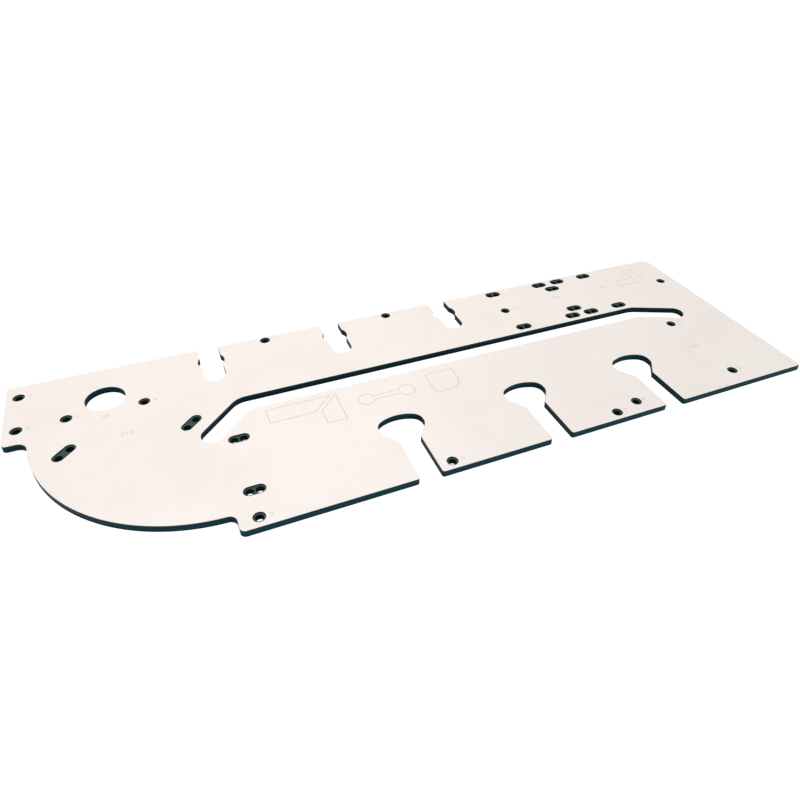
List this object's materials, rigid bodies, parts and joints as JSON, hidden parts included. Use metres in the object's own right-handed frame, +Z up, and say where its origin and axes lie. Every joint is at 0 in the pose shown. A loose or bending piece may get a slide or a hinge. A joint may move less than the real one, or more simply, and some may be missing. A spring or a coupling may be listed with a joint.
{
  "type": "worktop jointing jig",
  "caption": "Flat router template for kitchen worktop joints, with a long bent guide slot, bolt recesses, rear slots, a rounded end and stepped locating pin holes.",
  "frame": {"origin": "middle of the underside's bounding rectangle", "axes": "+X along the board's length, towards the square end; +Y from the edge with the bolt recesses to the edge with the straight slots; +Z up out of the working face"},
  "size_m": [1.094, 0.3696, 0.01],
  "materials": {
    "decor_laminate": "pale warm off-white decor laminate, satin, finely textured",
    "phenolic_core": "dark blue-black phenolic core, cut and lightly burnished on its edges"
  },
  "bodies": {
    "root": {"underside_laminate": "decor_laminate", "phenolic_core": "phenolic_core", "top_laminate": "decor_laminate"}
  },
  "joints": []
}
